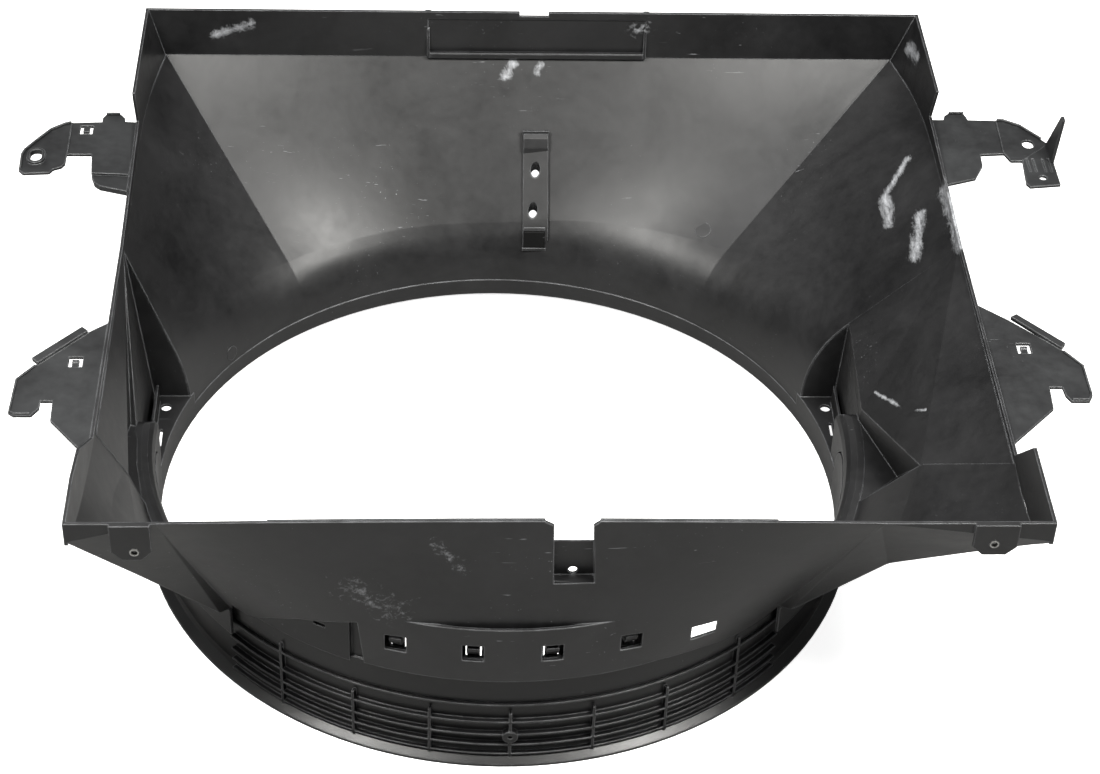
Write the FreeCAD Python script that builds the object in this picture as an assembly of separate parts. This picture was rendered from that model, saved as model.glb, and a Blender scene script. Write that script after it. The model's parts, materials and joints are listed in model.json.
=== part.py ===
"""Radiator fan shroud of a heavy pickup truck, in millimetres.

The shroud stands on the flared lip of its fan ring, with the open rim up. The fan's axis is
+Z and the ring's centre on the standing plane is the origin. "Far" is the +Y side, "near" the
-Y side with the snap strip, "left" -X and "right" +X. An angle on the ring runs from the far
side (+Y) towards the right (+X); a near angle runs from the near side (-Y) towards the right.
"""
import FreeCAD, Part
import math
import os

# ---------------------------------------------------------------- walls and clearances
WALL = 3.0                  # moulded wall of the hopper and the ring
GAP = 0.3                   # clearance between separate pieces
LEDGE = 0.7                 # step from the ring's plain wall out to the slopes above it
THROUGH = 40.0              # reach of a cutting tool past the wall it cuts

# ---------------------------------------------------------------- fan ring
RING_RADIUS = 336.0         # inside of the ring
LIP_RADIUS = RING_RADIUS + 14.0    # outside of the flared lip
LIP_HEIGHT = 13.0           # the flare starts this high on the outside
BORE_FOOT = 6.0             # and this high on the inside
RING_TOP = 24.0             # top of the ring's plain wall on the far side
RING_SPLIT = 88.0           # angle at which the far half ends and the near half begins

# ---------------------------------------------------------------- hopper rim and sill
RIM_LEFT = -372.0
RIM_RIGHT = 456.0
RIM_FAR = 463.5
RIM_NEAR = -340.0
RIM_BOW = 3.0               # how far the near rim bows in at its middle
RIM_HEIGHT = 289.0
SILL_HEIGHT = 233.0         # foot of the skirt, where the sloping walls begin
CREASE_LEFT = 18.0          # how far the left crease stands in from the rim at the sill
CREASE_RIGHT = 25.0         # the same on the right
CREASE_LEFT_ANGLE = -37.0   # ring angle where the left crease lands
CREASE_RIGHT_ANGLE = 40.0   # ring angle where the right crease lands
SIDE_STRAIGHT = 300.0       # the side walls lean in beyond this Y
THROAT_LEFT = 62.0          # height where the left slope would meet the ring
THROAT_FAR = 58.0           # the same at the far side
THROAT_RIGHT = 96.0         # the same on the right
THROAT_EASE = 0.6           # share of the throat height taken up by its rounding
LEFT_SILL = 224.0           # the side sills sink to these heights beside the pockets
RIGHT_SILL = 232.0
SILL_GRIP = 4.0             # how far the upright skirts reach below the sill
LEFT_SKIRT_TOP = ((298.0, 289.0), (312.0, 247.0), (121.0, 229.0), (-163.0, 229.0),
                  (-236.0, 280.0), (-282.0, 289.0))
RIGHT_SKIRT_TOP = ((313.0, 289.0), (327.0, 249.0), (121.0, 236.0), (-195.0, 237.0),
                   (-244.0, 289.0))
RECESS = (-72.0, 162.0, 280.0, 1.2)  # shallow field in the far skirt: X range, top, depth
RIM_NICK = (26.0, 57.0, 5.0)         # X range and depth of the nick in the far rim

# ---------------------------------------------------------------- pockets beside the ring
POCKET_Y = 121.0            # far wall of both pockets
SHELF_TOP = 38.0            # floor of the pockets
SHELF_END = 13.0            # Y where the floor ends, inside the lobe's arch
POCKET_FOOT = 350.0         # distance of the outer pocket walls from the axis plane
RIGHT_APEX_X = 354.5        # where the right pocket wall meets the slope
FIXING_HOLE = 10.5
FIXING_AT = (338.0, 103.0)  # X and Y of the round hole in each floor, mirrored
KEY_WIDTH = 3.0
KEY_X = 340.0
RIGHT_KEY = (60.0, 79.0)    # Y range of the slot in the right floor
LEFT_KEY = (43.0, 68.0)     # and in the left floor
SHELF_RIB = (345.0, 2.4, 39.0, 112.0, 22.0)  # X, thickness, Y range and height

# ---------------------------------------------------------------- rounded lobe round the near half
LOBE_ROOM = 8.0             # how far the lobe clears the bore of the near ring half
LOBE_RADIUS = RING_RADIUS + LOBE_ROOM      # inside of the lobe's wall
LOBE_WIDTH = 12.0
LOBE_FOOT = 60.0
LOBE_TOP = 97.0
LOBE_WALL = 2.5
LOBE_EASE = 5.0             # reach of the rounding along the corners' lobe edge
LOBE_STEP = 0.8             # the near corners' walls stand this far inside the lobe's skin
LOBE_LAP = 3.0              # degrees by which the arch laps into the near corner
LOBE_FACE = 336.8           # the lobe's brow comes in to this radius above the ring half
BROW_FOOT = 81.5            # lowest height of the brow
BROW_FILLET = ((336.8, 86.0), (339.0, 91.0), (343.0, 95.0), (349.0, 97.0))  # radius and height
BROW_END = 132.4            # ring angle where the brow ends
BROW_START = 109.0          # ring angle from which the lobe has no outer wall
RIGHT_LOBE_END = 33.0       # Y of the lobe's far end on the right
LEFT_LOBE_END = 21.0        # and on the left
LOBE_NOSE = 14.0            # radius of the rounding at its far end
CORNER_ANGLES = (134.0, 120.0, 106.0)      # ring angles of the near corner's sections
RIGHT_KNEES = ((93.0, 188.0), (84.0, 180.0), (70.0, 178.0))    # run and height of the bend
LEFT_KNEES = ((89.0, 190.0), (64.0, 175.0), (31.0, 150.0))
RIGHT_CORNER_HEADS = ((-337.0, 269.0), (-290.0, 236.0), (-200.0, 232.0))  # Y and height
LEFT_CORNER_HEADS = ((-337.0, 269.0), (-260.0, 240.0), (-150.0, 224.0))
KNEE_EASES = (4.0, 24.0, 4.0)
LOBE_BACK = ((349.0, -50.0), (352.0, -10.0))  # X and Y inside the lobe's crown
RIGHT_CREST = (352.0, -3.6, 127.3)            # corners of the recess beside the right lobe
RIGHT_TIP = (355.2, 17.0, 96.2)
RIGHT_FLOOR_CORNER = (382.2, -67.4, 96.2)
LEFT_VALLEY = (-367.0, -54.0, 110.0)          # corners of the recess beside the left lobe
LEFT_CORNER = (-361.5, 8.0, 96.2)
LEFT_TIP = (-355.0, 6.0, 95.5)

# ---------------------------------------------------------------- near wall and snap strip
HEM_ANGLE = 46.0            # near angle where the near wall meets its wings
HEM_HEIGHT = 95.0
WALL_LEFT = -297.0          # X of those meeting lines at the rim
WALL_RIGHT = 309.0
HEM_LINE = ((-247.0, 113.0), (-232.0, 113.0), (-223.0, 118.0), (-209.0, 134.0), (-184.0, 149.0),
            (-132.0, 163.0), (-127.0, 109.0), (130.0, 109.0), (173.0, 106.0), (204.0, 98.0),
            (223.0, 95.0))                 # X and height of the free lower edge
STRIP = (-21.5, 22.5, 109.0, 172.0, 2.0)   # near angles, heights and thickness of the pad
LATCH_X = (-99.0, -32.0, 37.0, 106.0)
LATCH_Z = 143.0
LATCH_WINDOW = 18.6
SIGHT_WINDOW = (160.0, 183.0, 126.0, 146.0)
NOTCH = ((25.0, 296.0), (27.0, 288.0), (34.1, 284.0), (35.5, 219.5), (70.6, 219.5),
         (67.0, 284.0), (72.0, 288.0), (74.5, 296.0))
NOTCH_FACE = -336.6         # Y where the box behind the notch starts
NOTCH_BACK = -328.0         # Y of the front of its back panel
NOTCH_PANEL_TOP = 255.0
NOTCH_CHEEK_TOP = 284.5     # height of its cheeks at the wall
NOTCH_WALL = 2.5
NOTCH_HOLE = (52.0, 224.6, 4.0)            # X, Z and radius
BEAD = (-204.0, 221.0, 0.3, 2.1, 1.6)      # X range, Y band and height of the near rim's bead
TABS = ((-334.0, -300.0, 251.0, -314.5, 260.0), (387.0, 425.0, 256.0, 405.0, 268.0))
TAB_CORNER = 9.0            # chamfer of the tabs' lower corners
TAB_HOLE = 4.0              # radius of the holes for the metal inserts
INSERT_BORE = 2.75

# ---------------------------------------------------------------- near half of the ring
HALF_TOP = 80.0             # wall height towards its ends
HALF_MIDDLE = 164.0         # wall height behind the snap strip
HALF_MIDDLE_ANGLES = (-44.0, 24.5)         # near angles between which it is that tall
SPLIT_GAP = 0.06            # half the parting gap between the ring halves, in degrees
BAND = (75.0, 104.0, RING_RADIUS + 5.0)    # smooth band: heights and radius
RIB_LEVELS = (9.0, 21.0, 34.0, 50.0, 72.0)
RIB_DEPTH = RING_RADIUS + 8.0      # outside of the ribs
RIB_THICK = 2.0
RIB_REACH = 47.0            # near angle covered by the ribs and the band
UPRIGHTS = (-36.3, -23.7, -11.7, 0.4, 13.0, 24.8, 37.9)
UPRIGHT_THICK = 2.5
UPRIGHT_TOP = 62.0
OUTER_UPRIGHT_TOP = 84.0
BOSS = (0.4, 33.0, 7.0, 2.0)               # near angle, height, radius and hole radius
PANEL = (-46.0, -24.0, 100.0, 163.0, RING_RADIUS + 7.4)
PANEL_SLOT = (-29.0, 132.0, 12.0, 4.0)     # near angle, height, width and height of the slot
TONGUE_WIDTH = 11.0
TONGUE_SLOT = 14.0
TONGUE_FOOT = 128.0
TONGUE_TOP = 157.0
HOOK = (139.0, 148.0, RING_RADIUS + 12.5)  # heights and outside radius

# ---------------------------------------------------------------- brackets
PLATE = 3.0                 # thickness of the bracket plates
UPPER_LEVEL = 240.0         # top of the upper brackets
LEFT_LEVEL = 229.0          # top of the lower left bracket
RIGHT_LEVEL = 233.0         # top of the lower right bracket
BORDER = 3.0                # height of the raised borders
LOCK_SLOT = (13.0, 15.0)    # width and length of the slot round a lock tongue
LOCK_WIDTH = 6.5
LOCK_GAP = 4.5              # open end of the slot beyond the tongue
UPPER_LEFT = ((-372.0, 320.0), (-385.0, 321.0), (-385.0, 327.0), (-390.0, 334.0),
              (-405.0, 334.0), (-408.0, 327.0), (-408.0, 320.0), (-439.0, 318.0),
              (-438.0, 262.0), (-413.0, 262.0), (-410.0, 229.0), (-372.0, 227.0))
UPPER_LEFT_LUG = ((-410.0, 229.0), (-406.0, 216.0), (-400.0, 210.0), (-372.0, 201.0),
                  (-372.0, 227.0))
LEFT_EAR = ((-439.0, 318.0), (-445.0, 316.0), (-459.0, 305.0), (-472.0, 284.0),
            (-482.0, 267.0), (-484.0, 258.0), (-483.0, 234.0), (-478.0, 228.0),
            (-452.0, 230.0), (-449.0, 236.0), (-441.0, 240.0), (-438.0, 246.0),
            (-438.0, 262.0))
LEFT_EAR_HOLE = (-468.0, 256.0, 12.0, 20.0)      # centre, width and length
LEFT_BUSH_WALL = 3.0
UPPER_LEFT_LOCK = (-422.5, 313.0, -1.0)          # root of the tongue and its direction along Y
UPPER_RIGHT = ((456.0, 334.0), (470.0, 334.0), (472.0, 341.0), (477.0, 346.0), (493.0, 346.0),
               (495.0, 340.0), (496.0, 334.0), (526.0, 333.0), (524.0, 273.0), (499.0, 271.0),
               (498.0, 251.0), (487.0, 228.0), (456.0, 217.0))
RIGHT_EAR = ((526.0, 333.0), (532.0, 333.0), (549.0, 323.0), (568.0, 298.0), (573.0, 291.0),
             (541.0, 260.0), (529.0, 260.0), (524.0, 273.0))
RIGHT_EAR_HOLE = (552.0, 290.0, 12.0, 15.0)
CLIP_PAD = ((541.0, 260.0), (573.0, 291.0), (573.0, 218.0), (541.0, 214.0), (538.0, 220.0))
CLIP_PAD_HOLE = (557.0, 230.0, 4.0)
CLIP_GROOVES = (546.0, 552.0, 562.0, 568.0)
CLIP_ARM = ((256.0, 0.0), (289.0, 0.0), (252.0, 60.0), (244.0, 60.0))   # Y and height
LOWER_LEFT = ((-372.0, 1.0), (-389.0, -13.0), (-432.0, -61.0), (-448.0, -83.0),
              (-449.0, -128.0), (-444.0, -132.0), (-428.0, -132.0), (-422.0, -122.0),
              (-422.0, -112.0), (-411.0, -112.0), (-410.0, -139.0), (-384.0, -173.0),
              (-372.0, -184.0))
LOWER_LEFT_BAR = ((-395.0, -8.0), (-389.0, -14.0), (-430.0, -61.0), (-436.0, -54.0))
LOWER_LEFT_LOCK = (-396.0, -64.0, 1.0)
LOWER_RIGHT = ((456.0, 28.0), (483.0, 4.0), (527.0, -42.0), (542.0, -65.0), (542.0, -107.0),
               (538.0, -115.0), (521.0, -115.0), (517.0, -107.0), (516.0, -95.0),
               (504.0, -95.0), (502.0, -126.0), (456.0, -175.0))
LOWER_RIGHT_BAR = ((485.0, 6.0), (491.0, 10.0), (530.0, -34.0), (525.0, -41.0))
LOWER_RIGHT_LOCK = (490.0, -46.0, 1.0)

# ---------------------------------------------------------------- strap on the far slope
STRAP = (31.0, 58.5, 342.0, 400.0, 2.6)    # X range, Y range and thickness
STRAP_HOLES = ((44.5, 386.0, 5.0), (42.0, 360.0, 5.0))
STRAP_HOLE_ROOM = 0.6       # how much wider the holes in the slope below are


def vec(x, y, z):
    """Point or direction in the part's frame."""
    return FreeCAD.Vector(x, y, z)


def ring_point(angle, radius, height=0.0):
    """Point on a circle about the fan's axis, at an angle from the far side."""
    turn = math.radians(angle)
    return vec(radius * math.sin(turn), radius * math.cos(turn), height)


def near_point(angle, radius, height=0.0):
    """Point on a circle about the fan's axis, at an angle from the near side."""
    return ring_point(180.0 - angle, radius, height)


def line(start, end):
    """Straight edge."""
    return Part.LineSegment(start, end).toShape()


def polygon(points):
    """Closed wire through the points."""
    return Part.makePolygon(list(points) + [points[0]])


def prism(points, push):
    """Solid swept from a flat outline along a vector."""
    return Part.Face(polygon(points)).extrude(push)


def fuse(pieces):
    """One shape from several that touch or overlap."""
    whole = pieces[0]
    if len(pieces) > 1:
        whole = pieces[0].multiFuse(pieces[1:])
    return whole.removeSplitter()


def sheet(points, push):
    """Wall of a moulding: a fan of triangles from the first corner, each swept along a vector."""
    first = points[0]
    fan = [prism([first, second, third], push) for second, third in zip(points[1:], points[2:])]
    return fuse(fan)


def ring_sector(profile, start, end):
    """Solid turned from a (radius, height) outline between two angles from the far side."""
    outline = [vec(0.0, radius, height) for radius, height in profile]
    face = Part.Face(polygon(outline))
    face.rotate(vec(0, 0, 0), vec(0, 0, 1), -start)
    return face.revolve(vec(0, 0, 0), vec(0, 0, 1), start - end)


def near_sector(profile, start, end):
    """Solid turned from a (radius, height) outline between two angles from the near side."""
    return ring_sector(profile, 180.0 - end, 180.0 - start)


# ---------------------------------------------------------------- curved wall sections
def offset_path(path, distance):
    """The (run, height) path moved sideways, away from the duct, with mitred corners."""
    normals = []
    for (run, rise), (next_run, next_rise) in zip(path, path[1:]):
        length = math.hypot(next_run - run, next_rise - rise)
        normals.append(((next_rise - rise) / length, (run - next_run) / length))
    first, last = normals[0], normals[-1]
    moved = [(path[0][0] + first[0] * distance, path[0][1] + first[1] * distance)]
    for (run, rise), before, after in zip(path[1:-1], normals, normals[1:]):
        reach = distance / (1.0 + before[0] * after[0] + before[1] * after[1])
        moved.append((run + (before[0] + after[0]) * reach, rise + (before[1] + after[1]) * reach))
    moved.append((path[-1][0] + last[0] * distance, path[-1][1] + last[1] * distance))
    return moved


def eased_edges(points, eases):
    """Edges along the points, each inner corner rounded by a parabola of the given reach."""
    edges = []
    start = points[0]
    for before, corner, after, ease in zip(points, points[1:], points[2:], eases):
        entry = corner + (before - corner).normalize() * ease
        leave = corner + (after - corner).normalize() * ease
        curve = Part.BezierCurve()
        curve.setPoles([entry, corner, leave])
        edges += [line(start, entry), curve.toShape()]
        start = leave
    edges.append(line(start, points[-1]))
    return edges


def wall_section(foot, head, path, eases, thickness=WALL, inset=0.0):
    """Upright section of a wall: a (run, height) path from the foot towards the head."""
    heading = vec(head.x - foot.x, head.y - foot.y, 0.0).normalize()
    inner = [foot + heading * run + vec(0, 0, rise) for run, rise in offset_path(path, inset)]
    outer_path = offset_path(path, inset + thickness)
    outer = [foot + heading * run + vec(0, 0, rise) for run, rise in outer_path]
    edges = eased_edges(inner, eases) + [line(inner[-1], outer[-1])]
    edges += eased_edges(outer[::-1], eases[::-1]) + [line(outer[0], inner[0])]
    return Part.Wire(edges)


def throat_height(angle):
    """Height where the slope would meet the ring, blended from side to side."""
    end = THROAT_LEFT if angle < 0 else THROAT_RIGHT
    return THROAT_FAR + (end - THROAT_FAR) * min(1.0, abs(angle) / 69.0)


def funnel_section(angle, head):
    """Section of the hopper's slope: up the ring, round the throat and out to the sill."""
    foot = ring_point(angle, RING_RADIUS + LEDGE)
    run = math.hypot(head.x - foot.x, head.y - foot.y)
    throat = throat_height(angle)
    path = [(0.0, RING_TOP - 4.0), (0.0, throat), (run, head.z)]
    return wall_section(foot, head, path, [throat * THROAT_EASE])


def side_head(y, side):
    """Inner edge of a side wall at the sill: straight, then leaning in towards the far corner."""
    rim, crease, sill = (RIM_RIGHT, CREASE_RIGHT, RIGHT_SILL)
    if side < 0:
        rim, crease, sill = (RIM_LEFT, CREASE_LEFT, LEFT_SILL)
    lean = max(0.0, (y - SIDE_STRAIGHT) / (RIM_FAR - WALL - SIDE_STRAIGHT))
    fall = (RIM_FAR - WALL - y) / (RIM_FAR - WALL - POCKET_Y)
    height = SILL_HEIGHT + (sill - SILL_HEIGHT) * min(1.0, fall)
    return vec(rim - side * (WALL + (crease - WALL) * lean * lean), y, height)


def funnel_patch(angles, heads):
    """Smooth wall through the sections between two creases."""
    sections = [funnel_section(angle, head) for angle, head in zip(angles, heads)]
    return Part.makeLoft(sections, True, False)


def spread(start, end, count):
    """Evenly spaced numbers, ends included."""
    return [start + (end - start) * index / (count - 1) for index in range(count)]


def pocket_angle():
    """Ring angle at which the pockets' far wall meets the ring."""
    return math.degrees(math.acos(POCKET_Y / RING_RADIUS))


def hopper_slopes():
    """Far, left and right slopes of the hopper."""
    far_y = RIM_FAR - WALL
    left_x = RIM_LEFT + CREASE_LEFT
    right_x = RIM_RIGHT - CREASE_RIGHT
    far_angles = spread(CREASE_LEFT_ANGLE, CREASE_RIGHT_ANGLE, 9)
    far_heads = [vec(x, far_y, SILL_HEIGHT) for x in spread(left_x, right_x, 9)]
    left_angles = spread(CREASE_LEFT_ANGLE, -pocket_angle(), 6)
    right_angles = spread(CREASE_RIGHT_ANGLE, pocket_angle(), 6)
    side_y = spread(far_y, POCKET_Y, 6)
    left_heads = [side_head(y, -1.0) for y in side_y]
    right_heads = [side_head(y, 1.0) for y in side_y]
    return [funnel_patch(far_angles, far_heads), funnel_patch(left_angles, left_heads),
            funnel_patch(right_angles, right_heads)]


# ---------------------------------------------------------------- skirts and rim
def skirt_plate(rim, side, top, feet):
    """Upright side skirt with a stepped top edge, from the near rim to where the wall leans."""
    outline = [(RIM_NEAR, RIM_HEIGHT)] + list(feet) + [(SIDE_STRAIGHT, feet[-1][1])]
    low, high = top[2], top[1]
    share = (SIDE_STRAIGHT - low[0]) / (high[0] - low[0])
    outline.append((SIDE_STRAIGHT, low[1] + (high[1] - low[1]) * share))
    outline += list(top[2:])
    points = [vec(rim, y, z) for y, z in outline]
    return prism(points, vec(-side * WALL, 0, 0))


def leaning_skirt(rim, side, top):
    """Far end of a side skirt, leaning in towards the crease, with the step in its top edge."""
    sections = []
    for y in spread(SIDE_STRAIGHT, RIM_FAR - WALL, 6) + [RIM_FAR]:
        head = side_head(min(y, RIM_FAR - WALL), side)
        foot = vec(head.x, y, head.z - SILL_GRIP)
        crest = vec(rim - side * WALL, y, RIM_HEIGHT)
        out = vec(side * WALL, 0, 0)
        sections.append(polygon([foot, crest, crest + out, foot + out]))
    skirt = Part.makeLoft(sections, True, True)
    low, high, crest = top[2], top[1], top[0]
    share = (SIDE_STRAIGHT - 1.0 - low[0]) / (high[0] - low[0])
    start = low[1] + (high[1] - low[1]) * share
    step = [(SIDE_STRAIGHT - 1.0, start), high, crest, (crest[0], RIM_HEIGHT + 1.0)]
    step.append((SIDE_STRAIGHT - 1.0, RIM_HEIGHT + 1.0))
    tool = [vec(rim + side * THROUGH, y, z) for y, z in step]
    return skirt.cut(prism(tool, vec(-side * 2.0 * THROUGH, 0, 0)))


def far_skirt():
    """Upright far skirt between the creases, with its shallow field and the nick in its rim."""
    foot = SILL_HEIGHT - SILL_GRIP
    near_face = RIM_FAR - WALL
    outline = [vec(RIM_LEFT + CREASE_LEFT, near_face, foot)]
    outline.append(vec(RIM_RIGHT - CREASE_RIGHT, near_face, foot))
    outline.append(vec(RIM_RIGHT - WALL, near_face, RIM_HEIGHT))
    outline.append(vec(RIM_LEFT + WALL, near_face, RIM_HEIGHT))
    plate = prism(outline, vec(0, WALL, 0))
    left, right, top, depth = RECESS
    field = Part.makeBox(right - left, depth, top - SILL_HEIGHT, vec(left, near_face, SILL_HEIGHT))
    start, end, nick = RIM_NICK
    notch = Part.makeBox(end - start, WALL, nick, vec(start, near_face, RIM_HEIGHT - nick))
    return plate.cut(Part.makeCompound([field, notch]))


def skirts():
    """All upright skirts of the hopper."""
    right_feet = [(y, z - SILL_GRIP) for y, z in RIGHT_CORNER_HEADS]
    left_feet = [(y, z - SILL_GRIP) for y, z in LEFT_CORNER_HEADS]
    right_feet[0] = (RIM_NEAR, right_feet[0][1])
    left_feet[0] = (RIM_NEAR, left_feet[0][1])
    pieces = [far_skirt()]
    pieces.append(skirt_plate(RIM_RIGHT, 1.0, RIGHT_SKIRT_TOP, right_feet))
    pieces.append(skirt_plate(RIM_LEFT, -1.0, LEFT_SKIRT_TOP, left_feet))
    pieces.append(leaning_skirt(RIM_RIGHT, 1.0, RIGHT_SKIRT_TOP))
    pieces.append(leaning_skirt(RIM_LEFT, -1.0, LEFT_SKIRT_TOP))
    return pieces


# ---------------------------------------------------------------- ring of the upper shroud
LIP = ((RING_RADIUS, BORE_FOOT), (RING_RADIUS + 3.5, BORE_FOOT - 3.5), (LIP_RADIUS - 3.0, 0.0),
       (LIP_RADIUS, 0.0), (LIP_RADIUS, 2.5), (RING_RADIUS + 5.0, 8.0),
       (RING_RADIUS + WALL, LIP_HEIGHT))


def lipped_wall(top):
    """Outline of the ring's wall with its flared lip, up to a height."""
    return [(RING_RADIUS, top)] + list(LIP) + [(RING_RADIUS + WALL, top)]


def ring_wall(foot, top, radius=RING_RADIUS, thickness=WALL):
    """Outline of a plain stretch of ring wall."""
    outer = radius + thickness
    return [(radius, foot), (outer, foot), (outer, top), (radius, top)]


def far_ring():
    """Far half of the ring: low under the slopes, up to the pocket floors beside them."""
    split = RING_SPLIT - SPLIT_GAP
    start = pocket_angle() - 1.0
    low = ring_sector(lipped_wall(RING_TOP), -split, split)
    sides = [ring_sector(ring_wall(LIP_HEIGHT, SHELF_TOP), start, split),
             ring_sector(ring_wall(LIP_HEIGHT, SHELF_TOP), -split, -start)]
    return [low] + sides


# ---------------------------------------------------------------- pockets
def slope_cover(side):
    """Everything under the slope's middle surface in the pockets' far plane."""
    head = side_head(POCKET_Y, side)
    foot = ring_point(side * pocket_angle(), RING_RADIUS + LEDGE)
    run = abs(head.x - foot.x)
    throat = throat_height(side * pocket_angle())
    middle = offset_path([(0.0, RING_TOP - 4.0), (0.0, throat), (run, head.z)], WALL / 2.0)
    points = [vec(foot.x + side * reach, POCKET_Y, rise) for reach, rise in middle]
    low = vec(points[-1].x, POCKET_Y, points[0].z)
    edges = eased_edges(points, [throat * THROAT_EASE])
    edges += [line(points[-1], low), line(low, points[0])]
    return Part.Face(Part.Wire(edges)).extrude(vec(0, WALL, 0))


def pocket_base(side):
    """Far wall, floor and stiffening rib of one pocket, with the holes in its floor."""
    top = RIGHT_APEX_X if side > 0 else -RIM_LEFT
    outline = [vec(side * (RING_RADIUS - 40.0), POCKET_Y, SHELF_TOP - WALL)]
    outline.append(vec(side * (POCKET_FOOT + WALL), POCKET_Y, SHELF_TOP - WALL))
    outline.append(vec(side * (top + WALL), POCKET_Y, SILL_HEIGHT))
    outline.append(vec(side * (RING_RADIUS - 40.0), POCKET_Y, SILL_HEIGHT))
    far_wall = slope_cover(side).common(prism(outline, vec(0, WALL, 0)))
    floor = [vec(side * 300.0, POCKET_Y + 1.0, SHELF_TOP - WALL)]
    floor.append(vec(side * (POCKET_FOOT + 2.0), POCKET_Y + 1.0, SHELF_TOP - WALL))
    floor.append(vec(side * (POCKET_FOOT + 2.0), SHELF_END, SHELF_TOP - WALL))
    floor.append(vec(side * 300.0, SHELF_END, SHELF_TOP - WALL))
    shelf = prism(floor, vec(0, 0, WALL))
    shelf = shelf.cut(Part.makeCylinder(RING_RADIUS + 1.0, THROUGH * 2.0))
    x, thick, start, end, height = SHELF_RIB
    rib = prism([vec(side * x, end, SHELF_TOP - 1.0), vec(side * x, start, SHELF_TOP - 1.0),
                 vec(side * x, start + height, SHELF_TOP + height),
                 vec(side * x, end, SHELF_TOP + height)], vec(side * thick, 0, 0))
    hole = Part.makeCylinder(FIXING_HOLE / 2.0, THROUGH, vec(side * FIXING_AT[0], FIXING_AT[1], 0))
    start, end = RIGHT_KEY if side > 0 else LEFT_KEY
    slot = Part.makeBox(KEY_WIDTH, end - start, THROUGH)
    slot.translate(vec(side * KEY_X - KEY_WIDTH / 2.0, start, 0))
    cuts = Part.makeCompound([hole, slot])
    return [far_wall, shelf.cut(cuts), rib]


def side_view(side, end, nose, crest):
    """Everything on one side that is nearer than an end whose top corner is rounded."""
    centre = vec(0, end - nose, crest - nose)
    left = 0.0 if side > 0 else -2.0 * POCKET_FOOT
    drum = Part.makeCylinder(nose, 2.0 * POCKET_FOOT, centre, vec(side, 0, 0))
    body = Part.makeBox(2.0 * POCKET_FOOT, 400.0, crest + 100.0, vec(left, centre.y - 400.0, -100.0))
    foot = Part.makeBox(2.0 * POCKET_FOOT, nose, centre.z + 100.0, vec(left, centre.y, -100.0))
    return drum.fuse([body, foot])


def lobe_sector(side, profile, start, end):
    """Ring sector between two angles on one side."""
    first, last = sorted((side * start, side * end))
    return ring_sector(profile, first, last)


def lobe(side):
    """Lobe round the near ring half: a brow, an outer wall and a rounded far end."""
    tail = RIGHT_LOBE_END if side > 0 else LEFT_LOBE_END
    foot = SHELF_TOP - WALL
    outer = LOBE_RADIUS + LOBE_WIDTH
    start = math.degrees(math.acos((tail + LOBE_NOSE) / LOBE_RADIUS))
    profile = [(LOBE_FACE, foot), (outer, foot), (outer, LOBE_TOP)] + list(BROW_FILLET[::-1])
    block = lobe_sector(side, profile, start, BROW_END)
    block = block.common(side_view(side, tail, LOBE_NOSE, LOBE_TOP))
    hollow = ring_wall(foot, LOBE_TOP - LOBE_WALL, LOBE_RADIUS + LOBE_WALL, LOBE_WIDTH - 2.0 * LOBE_WALL)
    hollow = lobe_sector(side, hollow, start, BROW_START + LOBE_LAP)
    hollow = hollow.common(side_view(side, tail - LOBE_WALL, LOBE_NOSE - LOBE_WALL,
                                     LOBE_TOP - LOBE_WALL))
    half_end = RING_RADIUS * math.cos(math.radians(RING_SPLIT))
    clear = BROW_FOOT - HALF_TOP
    room = lobe_sector(side, ring_wall(0.0, BROW_FOOT, LOBE_FACE - WALL, LOBE_RADIUS + WALL - LOBE_FACE),
                       start, BROW_END + 1.0)
    room = room.common(side_view(side, half_end + clear, BROW_FOOT - SHELF_TOP, BROW_FOOT))
    low = [(LOBE_FACE, 0.0), (outer + WALL, 0.0), (outer + WALL, LOBE_TOP - LOBE_WALL),
           (LOBE_RADIUS + LOBE_WALL, LOBE_TOP - LOBE_WALL), (LOBE_RADIUS + LOBE_WALL, LOBE_FOOT),
           (LOBE_FACE, LOBE_FOOT)]
    under = lobe_sector(side, low, BROW_START, BROW_END + 1.0)
    return block.cut(hollow).cut(room).cut(under)


# ---------------------------------------------------------------- near corners
def corner_path(angle, side, knee, head_at):
    """Foot, head and path of one section of a near corner, lobe included."""
    rim = RIM_RIGHT if side > 0 else RIM_LEFT
    foot = ring_point(side * angle, LOBE_RADIUS + LOBE_STEP)
    head = vec(rim - side * WALL, head_at[0], head_at[1])
    run = math.hypot(head.x - foot.x, head.y - foot.y)
    top = LOBE_TOP - LOBE_STEP
    path = [(0.0, LOBE_FOOT), (0.0, top), (LOBE_WIDTH, top), knee, (run, head_at[1])]
    return foot, head, path


def corner_points(side, index):
    """The section's path as points in space, nudged into the corner's wall."""
    knees, heads = corner_tables(side)
    foot, head, path = corner_path(CORNER_ANGLES[index], side, knees[index], heads[index])
    heading = vec(head.x - foot.x, head.y - foot.y, 0.0).normalize()
    inward = vec(-heading.y, heading.x, 0.0) * side
    bite = inward * (1.5 if index == 0 else -1.5) + vec(0, 0, -1.2)
    return [foot + heading * run + vec(0, 0, rise) + bite for run, rise in path]


def corner_tables(side):
    """Knees and heads of the near corner on one side."""
    if side > 0:
        return RIGHT_KNEES, RIGHT_CORNER_HEADS
    return LEFT_KNEES, LEFT_CORNER_HEADS


def near_corner(side):
    """Smooth wall of a near corner, from the lobe up to the sill."""
    knees, heads = corner_tables(side)
    sections = []
    for angle, knee, head_at, ease in zip(CORNER_ANGLES, knees, heads, KNEE_EASES):
        foot, head, path = corner_path(angle, side, knee, head_at)
        sections.append(wall_section(foot, head, path, [LOBE_EASE, LOBE_EASE, ease]))
    return Part.makeLoft(sections, True, False)


def side_push(side):
    """Wall vector of the faceted walls between a pocket and the near corner."""
    return vec(side * 2.6, 0, -1.6)


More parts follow.
